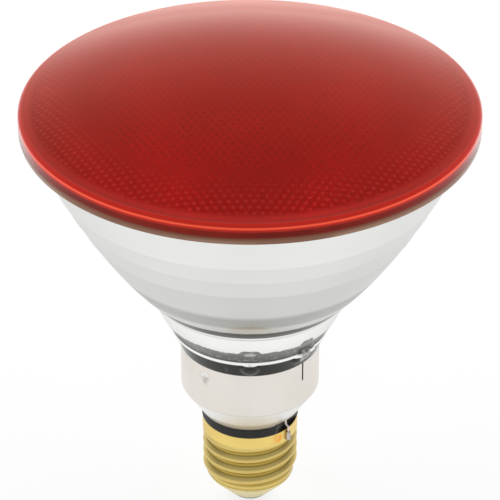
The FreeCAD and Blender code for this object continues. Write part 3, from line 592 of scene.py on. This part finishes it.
def makeBowl():
    mouth, rim, seam, low = bowl["mouth"], bowl["rim"], bowl["seam"], bowl["flangeLow"]
    beadLow = bowl["bead"][-1][1]
    innerRings, outerRings = bowl["innerRings"], bowl["outerRings"]
    inside = [bowlInside(mouth * i / innerRings) for i in range(innerRings + 1)]
    flange = along((mouth, seam), (rim, seam), 2)[1:]
    flange += [(radius, low + height) for radius, height in bowl["flangeEdge"]]
    top, span = bowl["outerTop"], bowl["outerTop"] - bowl["outerLow"]
    outer = [bowlOutside(top - span * i / outerRings) for i in range(outerRings + 1)]
    neck = list(bowl["groove"]) + curveThrough(*bowl["swell"], 14)[1:] + list(bowl["bead"])
    neck += along(*bowl["taper"], 14) + list(bowl["neckEnd"])
    plug = along(*bowl["plug"], 6)[1:] + list(bowl["plugInside"])
    piece = lathe("bowlGlass", inside + flange + outer + neck + plug, bowl["steps"])
    boss = (0, bowl["bossHeight"], *bowl["bossPress"])
    pressBoth(piece, 0, bowl["bossRadius"], [boss], "SPHERE")
    pressBoth(piece, bowl["lugTurn"], bowl["lugRadius"], bowl["lugPresses"], "SPHERE")

    def finishOf(face):
        r, z = middleOf(face)
        if r < mouth and z > bowlInside(r)[1] - 0.4:  # the parabola
            return 1
        if z < beadLow:
            return 2
        return 3 if z > low - 0.1 else 0

    finishes = [silveredFinish(), mirrorFinish(), neckFinish(), flangeFinish()]
    dress(piece, "reflector", "clear_glass", finishes, 40, finishOf)


makeBowl()


# Aluminium skirt of the cap

skirt = {
    "radius": 19.0, "rim": 53.0, "fold": 39.4, "foot": 13.5, "low": 31.05, "wall": 0.45, "hole": 11.1,
    "steps": 320, "wallRings": 48, "coneRings": 16,
    "slitTurn": 48.6, "slitDepth": 5.9, "slitWidth": 0.55,
    "notchTurn": 58, "notchMiddle": (21.4, 31.25), "notchSize": (13, 20, 1.4),  # width, depth and tallness
    "crimpTurn": -40.5,
    # for each press of the crimp its turn aside, height, depth and reach
    "crimp": ((-3, 50.3, 0.36, 1.2), (3, 50.3, 0.36, 1.2), (0, 48.8, 0.62, 1.7)),
    # for each patch of light or shade in it its turn aside, height, width and tallness
    "dent": (0, 49.7, 7.0, 1.6), "core": (-0.6, 50.0, 5.0, 1.1), "point": (0.4, 48.7, 3.6, 2.0),
    "metal": (0.82, 0.785, 0.73, 1), "metalDark": (0.77, 0.73, 0.67, 1),
    "cone": (0.84, 0.835, 0.82, 1), "coneBrassReflection": (0.6, 0.555, 0.46, 1), "coneBrassReflectionZone": (35.6, 33.6),
    "creaseShade": (0.3, 0.28, 0.27, 1), "bright": (0.92, 0.92, 0.91, 1),
}


def skirtFinish():
    finish = Finish("satin aluminium sheet", {"Metallic": 1.0})
    z, fold = finish.z, skirt["fold"]
    drawn = finish.noise(420, 4, 0.6, (0.12, 0.12, 1))
    cloud = finish.noise(55)
    colour = finish.mix(cloud.rise(0.3, 0.75), skirt["metal"], skirt["metalDark"])
    colour = finish.mix(z.rise(fold, fold - 0.3), colour, skirt["cone"])
    # near the foot the cone is painted yellower and darker, a painted reflection of the brass
    colour = finish.mix((z + cloud * 2).rise(*skirt["coneBrassReflectionZone"]), colour, skirt["coneBrassReflection"])
    # a thin dark line of painted shade along the fold
    colour = finish.mix(z.band(fold - 0.12, fold + 0.1, 0.08) * 0.45, colour, skirt["creaseShade"])

    def inCrimp(patch):
        aside, height, wide, tall = skirt[patch]
        return finish.nearBoth(skirt["crimpTurn"] + aside, height, wide, tall)

    # the crimps catch the light, inside a shaded edge
    colour = finish.mix(inCrimp("dent") * 0.16 + inCrimp("point") * 0.24, colour, skirt["creaseShade"])
    finish.set("Base Color", finish.mix(inCrimp("core") * 0.7, colour, skirt["bright"]))
    finish.set("Roughness", 0.3 + cloud * 0.08 + drawn * 0.06)
    finish.set("Normal", finish.bump(drawn, 0.03 * mm, 0.4))
    return finish


def makeSkirt():
    r, rim, fold, foot, low, wall, hole = (
        skirt[key] for key in ("radius", "rim", "fold", "foot", "low", "wall", "hole")
    )
    outer = [(r - wall / 2, rim), (r - 0.12, rim - 0.03), (r, rim - 0.15)]
    outer += along((r, rim - 0.4), (r, fold + 0.3), skirt["wallRings"])
    outer += [(r - 0.03, fold + 0.1), (r - 0.15, fold - 0.06)]
    outer += along((r - 0.28, fold - 0.32), (foot + 0.18, low + 0.28), skirt["coneRings"])
    outer += [(foot + 0.02, low + 0.08), (foot - 0.2, low)]
    inner = [(hole, low), (hole, low + wall), (foot - 0.5, low + wall)]
    inner += along((foot - 0.35, low + wall + 0.1), (r - 1.0, fold - 0.4), 8)
    inner += along((r - wall - 0.15, fold + 0.3), (r - wall, rim - 0.1), 26)
    inner += [(r - wall + 0.06, rim - 0.02), (r - wall / 2, rim)]
    piece = lathe("capSkirt", outer + inner, skirt["steps"])
    pressBoth(piece, skirt["crimpTurn"], r, skirt["crimp"])
    # the tool for the slits starts 1 mm above the rim, and the notch lets the side wire out at the foot
    depth, wide = skirt["slitDepth"], skirt["slitWidth"]
    for turn in (skirt["slitTurn"], skirt["slitTurn"] + 180):
        carve(piece, block(turn, r, rim + 0.5 - depth / 2, wide, deep=3, tall=depth + 1))
    carve(piece, block(skirt["notchTurn"], *skirt["notchMiddle"], *skirt["notchSize"]))
    dress(piece, "cap_skirt", "skirt_aluminium", [skirtFinish()], 35)


makeSkirt()


# Black ring

ring = {
    "radius": 13.35, "bore": 9.8, "top": 31.05, "low": 28.0, "steps": 192,
    "collar": 10.8, "collarTall": 1.3, "foot": 12.5, "footTall": 1.8,
    "flat": 12.1, "flatTurn": 58, "flatZone": (11.9, 12.05),
    "black": paint(42, 42, 41), "blackDark": paint(33, 33, 32),
}


def ringFinish():
    finish = Finish("black moulded ring", {"IOR": glassIor, "Specular IOR Level": 0.25})
    grain = finish.noise(900, 4, 0.6)
    finish.set("Base Color", finish.mix(grain, ring["black"], ring["blackDark"]))
    angle = math.radians(ring["flatTurn"])
    outwards = finish.x * math.sin(angle) - finish.y * math.cos(angle)
    finish.set("Roughness", 0.5 - outwards.rise(*ring["flatZone"]) * 0.3)  # the flat is smoother
    finish.set("Normal", finish.bump(grain, 0.03 * mm, 0.5))
    return finish


def makeRing():
    r, top, low, bore = ring["radius"], ring["top"], ring["low"], ring["bore"]
    collarTop, footLow = top + ring["collarTall"], low - ring["footTall"]
    profile = [(bore, collarTop), (ring["collar"], collarTop), (ring["collar"], top)]
    profile += [(r - 0.25, top), (r, top - 0.25)] + along((r, top - 0.5), (r, low + 0.35), 4)
    profile += [(r - 0.12, low + 0.1), (r - 0.35, low), (ring["foot"], low)]
    profile += [(ring["foot"], footLow), (bore, footLow), (bore, collarTop)]
    piece = lathe("insulatingRing", profile, ring["steps"])
    # the tool runs past both ends of the wall, so that no face of it lies in a face of the ring
    wide, deep, tall = 16, 20, top - low + 0.1
    carve(piece, block(ring["flatTurn"], ring["flat"] + deep / 2, (top + low) / 2, wide, deep, tall))
    dress(piece, "insulating_ring", "black_ring", [ringFinish()], 30)


makeRing()


# Brass screw shell

brass = {
    "bright": (0.88, 0.67, 0.22, 1), "deep": (0.8, 0.58, 0.16, 1), "heat": (0.9, 0.36, 0.05, 1),
    "worn": (0.77, 0.6, 0.21, 1), "valleyShade": (0.4, 0.28, 0.045, 1), "brassShade": (0.5, 0.36, 0.08, 1),
    "wornZone": (25.0, 24.0), "threadBand": (10.6, 24.1, 0.4), "lipZone": (10.4, 9.4),
    "valleyShadeZone": (12.63, 12.23), "crestZone": (13.08, 13.13),
    "heatSpot": (35, 26.3, 8, 1.9),  # turn, height, width and tallness of the tint left by soldering
}


def brassFinish():
    finish = Finish("rolled brass", {"Metallic": 1.0})
    z, radius = finish.z, finish.radius
    cloud = finish.noise(60, 4, 0.55)
    scratch = finish.noise(500, 3, 0.6, (0.1, 0.1, 1))
    colour = finish.mix(cloud.rise(0.3, 0.75), brass["bright"], brass["deep"])
    colour = finish.mix(z.rise(*brass["wornZone"]), colour, brass["worn"])
    thread = z.band(*brass["threadBand"])
    # the valleys of the thread are painted darker, as painted shade
    valleyShade = radius.rise(*brass["valleyShadeZone"]) * thread
    colour = finish.mix(valleyShade * (0.6 + 0.5 * cloud), colour, brass["valleyShade"])
    # each crest gets a dark line of painted reflection, and the lip at the foot is painted darker as shade
    crest = radius.rise(*brass["crestZone"]) * thread
    colour = finish.mix(crest * 0.35, colour, brass["brassShade"])
    colour = finish.mix(z.rise(*brass["lipZone"]) * 0.8, colour, brass["brassShade"])
    ragged = finish.noise(300, 4, 0.7).rise(0.3, 0.6)
    heat = finish.near(*brass["heatSpot"]) * ragged
    finish.set("Base Color", finish.mix(heat * 0.85, colour, brass["heat"]))
    finish.set("Roughness", 0.26 + cloud * 0.12 + scratch * 0.08)
    finish.set("Normal", finish.bump(scratch, 0.02 * mm, 0.35))
    return finish


dress(copyNode("screw_shell", "screwShell"), "screw_shell", "cap_brass", [brassFinish()], 40)


# Insulator, contact and solder at the tip

tip = {
    "steps": 160,
    "cream": paint(252, 240, 196), "creamDark": paint(242, 228, 182), "creamLow": paint(236, 227, 198),
    "creamLowZone": (6.5, 3.5), "speck": paint(176, 150, 100),
    "insulatorFoot": ((1.45, 1.5), (5.0, 1.5), (5.3, 1.62)), "insulatorCone": ((5.5, 1.8), (11.35, 7.95)),
    "insulatorTop": (
        (11.55, 8.2), (11.6, 8.45), (11.6, 9.0), (10.85, 9.0), (10.85, 11.6), (8.25, 11.6),
        (8.25, 9.0), (1.45, 4.1), (1.45, 1.5),
    ),
    # the contact's edge is turned up a little over the insulator's foot
    "disc": (
        (0.6, 1.0), (4.3, 1.0), (4.7, 1.08), (5.05, 1.32), (5.42, 1.7), (5.95, 2.24), (5.9, 2.3),
        (5.3, 1.72), (4.75, 1.5), (1.3, 1.5), (1.3, 4.0), (0.6, 4.0), (0.6, 1.0),
    ),
    "drop": ((0, 0), (0.9, 0), (1.7, 0)), "dropSide": ((1.7, 0), (3.09, 0.26), (4.3, 1)), "dropTop": (0, 1),
    "hollowPlace": (2.9, 0.3, 1.6),  # radius, height and reach of the hollows in the solder
    "hollows": {20: 0.12, 140: 0.1, 250: 0.14, 310: -0.1},  # turn and depth
    # metals: colour, darker colour, least and most roughness
    "contact": ((0.36, 0.35, 0.34, 1), (0.26, 0.25, 0.245, 1), 0.4, 0.55),
    "solder": ((0.34, 0.33, 0.315, 1), (0.22, 0.21, 0.2, 1), 0.3, 0.5),
    "brightSolder": ((0.66, 0.6, 0.56, 1), (0.4, 0.36, 0.33, 1), 0.2, 0.4),
}


def creamFinish():
    settings = {"Roughness": 0.6, "Specular IOR Level": 0.0}
    glow = {"Sheen Weight": 0.7, "Sheen Roughness": 0.4, "Sheen Tint": tip["cream"]}
    finish = Finish("cream insulator", {**settings, **glow})
    cloud = finish.noise(90, 4, 0.6)
    colour = finish.mix(cloud.rise(0.35, 0.7), tip["cream"], tip["creamDark"])
    colour = finish.mix(finish.z.rise(*tip["creamLowZone"]), colour, tip["creamLow"])
    speck = finish.noise(700, 2, 0.5).rise(0.68, 0.74)
    finish.set("Base Color", finish.mix(speck * 0.3, colour, tip["speck"]))
    finish.set("Normal", finish.bump(cloud, 0.15 * mm, 0.4))
    return finish


def metalFinish(name, bright, dark, low, high):
    finish = Finish(name, {"Metallic": 1.0, "Specular Tint": (0.6, 0.6, 0.6, 1)})
    cloud = finish.noise(260, 5, 0.65)
    finish.set("Base Color", finish.mix(cloud.rise(0.3, 0.7), bright, dark))
    finish.set("Roughness", low + cloud * (high - low))
    finish.set("Normal", finish.bump(cloud, 0.08 * mm, 0.5))
    return finish


tinned = metalFinish("tinned contact", *tip["contact"])


def makeTip():
    profile = list(tip["insulatorFoot"]) + along(*tip["insulatorCone"], 12) + list(tip["insulatorTop"])
    insulator = lathe("baseInsulator", profile, tip["steps"])
    dress(insulator, "base_insulator", "cream_insulator", [creamFinish()], 35)
    disc = lathe("centreContact", tip["disc"], tip["steps"])
    dress(disc, "centre_contact", "contact_metal", [tinned], 35)
    profile = list(tip["drop"]) + curveThrough(*tip["dropSide"], 8)[1:] + [tip["dropTop"]]
    drop = lathe("contactSolder", profile, tip["steps"])
    radius, height, reach = tip["hollowPlace"]
    for turn, depth in tip["hollows"].items():
        press(drop, turn, radius, height, depth, reach)
    dress(drop, "contact_solder", "solder", [metalFinish("dull solder", *tip["solder"])], 40)
    bright = metalFinish("bright solder", *tip["brightSolder"])
    dress(copyNode("side_solder", "sideSolder"), "side_solder", "solder", [bright], 60)


makeTip()


# Wires, and what is inside the glass

wires = {
    # metals as at the tip
    "wire": ((0.86, 0.74, 0.68, 1), (0.72, 0.6, 0.54, 1), 0.2, 0.35),
    "nickel": ((0.72, 0.7, 0.66, 1), (0.6, 0.58, 0.55, 1), 0.18, 0.3),
    "tungsten": ((0.34, 0.34, 0.35, 1), (0.24, 0.24, 0.25, 1), 0.35, 0.5),
    "ceramic": (paint(238, 236, 228), paint(222, 219, 208)),
    "tube": ((0.93, 0.95, 0.94, 1), (0.88, 0.91, 0.9, 1)),
}


def makeWires():
    wire = metalFinish("drawn wire", *wires["wire"])
    nickel = metalFinish("nickel plated wire", *wires["nickel"])
    tungsten = metalFinish("grey coiled wire", *wires["tungsten"])
    ceramic = Finish("white ceramic", {"Roughness": 0.55})
    ceramic.set("Base Color", ceramic.mix(ceramic.noise(200), *wires["ceramic"]))
    tube = Finish("clear drawn glass", {"Roughness": 0.05, "Transmission Weight": 0.9})
    tube.set("Base Color", tube.mix(tube.noise(40, 2, 0.5), *wires["tube"]))
    for node, name, slotName, finish in (
        ("side_lead", "sideWire", "lead_wire", wire),
        ("centre_lead", "centreWire", "lead_wire", wire),
        ("lead_post_side", "leadPostSide", "post_metal", nickel),
        ("lead_post_centre", "leadPostCentre", "post_metal", nickel),
        ("filament_hook", "filamentHook", "post_metal", nickel),
        ("ferrule_side", "ferruleSide", "ferrule_metal", tinned),
        ("ferrule_centre", "ferruleCentre", "ferrule_metal", tinned),
        ("filament", "filamentCoil", "filament_metal", tungsten),
        ("post_bridge", "postBridge", "bridge_ceramic", ceramic),
        ("exhaust_tube", "exhaustTube", "clear_glass", tube),
    ):
        dress(copyNode(node, name), node, slotName, [finish], 40)


makeWires()


# Floor, light and camera

studio = {
    "floor": (0.9, 0.9, 0.9, 1), "floorRadius": 6, "floorHeight": -0.05 * mm, "floorGlow": 0.8,
    "skyLight": 0.62, "horizon": 1.0, "fade": (0.8, 0.0), "frontZone": (0.1, -0.4),
    "overhead": 0.07, "overheadFront": 0.42, "overheadThroughGlass": 0.75,
    "aim": (0, 0, 0.08),
    "lamps": {  # place, size and power
        "keyLamp": ((-1.0, 0.0, 0.8), 0.8, 4.6),
        "fillLamp": ((1.0, 0.0, 0.7), 0.9, 4.2),
        "backLamp": ((0.1, 1.1, 0.8), 1.0, 7.6),
    },
    "cameraPlace": (0, -0.64297, 0.48430), "cameraDip": 32.1, "focalLength": 203.3, "sensorWidth": 36,
}
white = (1, 1, 1, 1)


def makeFloor():
    deselectAll()
    radius, place = studio["floorRadius"], (0, 0, studio["floorHeight"])
    bpy.ops.mesh.primitive_circle_add(vertices=64, radius=radius, fill_type="NGON", location=place)
    floor = bpy.context.object
    floor.name = "floor"
    settings = {"Base Color": studio["floor"], "Roughness": 0.9, "Specular IOR Level": 0.1}
    finish = Finish("pale floor", settings)
    camera, glossy, passing = finish.rays()
    seen = (camera + glossy + passing).rise(0.0, 1.0)
    glow = finish.add("Emission", {}, {"Color": white, "Strength": 1.0})
    shader = Value(finish, finish.shader.outputs[0])
    blend = finish.add("MixShader", {}, {0: seen * studio["floorGlow"], 1: shader, 2: glow})
    finish.feed(finish.tree.nodes["Material Output"].inputs[0], blend)
    floor.data.materials.append(finish.material)


def makeWorld():
    world = bpy.data.worlds.new("studio")
    bpy.context.scene.world = world
    world.use_nodes = True
    nodes = Nodes(world.node_tree)
    camera, glossy, passing = nodes.rays()
    place = nodes.add("TexCoord", output="Generated")
    forward, height = nodes.axis(place, 1), nodes.axis(place, 2)
    # what metal and glass show: pale at the horizon and darker overhead, less so in front
    fade = height.rise(*studio["fade"], "LINEAR")
    front = (studio["overheadFront"] - studio["overhead"]) * forward.rise(*studio["frontZone"])
    dim = studio["overhead"] + front
    shine = dim + (studio["horizon"] - dim) * (fade * fade)
    through = studio["overheadThroughGlass"] + (1 - studio["overheadThroughGlass"]) * fade
    plain = glossy * shine + (1 - glossy) * studio["skyLight"]
    strength = camera + (1 - camera) * (passing * through + (1 - passing) * plain)
    background = world.node_tree.nodes["Background"]
    nodes.feed(background.inputs["Color"], white)
    nodes.feed(background.inputs["Strength"], strength)


def makeLamp(name, place, size, power):
    light = bpy.data.lights.new(name, "AREA")
    light.shape = "DISK"
    light.size = size
    light.energy = power
    lamp = bpy.data.objects.new(name, light)
    bpy.context.scene.collection.objects.link(lamp)
    lamp.location = place
    lamp.rotation_euler = (Vector(studio["aim"]) - Vector(place)).to_track_quat("-Z", "Y").to_euler()
    lamp.visible_glossy = False
    lamp.visible_camera = False


def makeCamera():
    data = bpy.data.cameras.new("camera")
    data.sensor_width = studio["sensorWidth"]
    data.lens = studio["focalLength"]
    camera = bpy.data.objects.new("camera", data)
    bpy.context.scene.collection.objects.link(camera)
    camera.location = studio["cameraPlace"]
    camera.rotation_euler = (math.radians(90 - studio["cameraDip"]), 0, 0)
    bpy.context.scene.camera = camera


makeFloor()
makeWorld()
for name, values in studio["lamps"].items():
    makeLamp(name, *values)
makeCamera()
bpy.context.scene.view_settings.view_transform = "Standard"
print("studio ready")
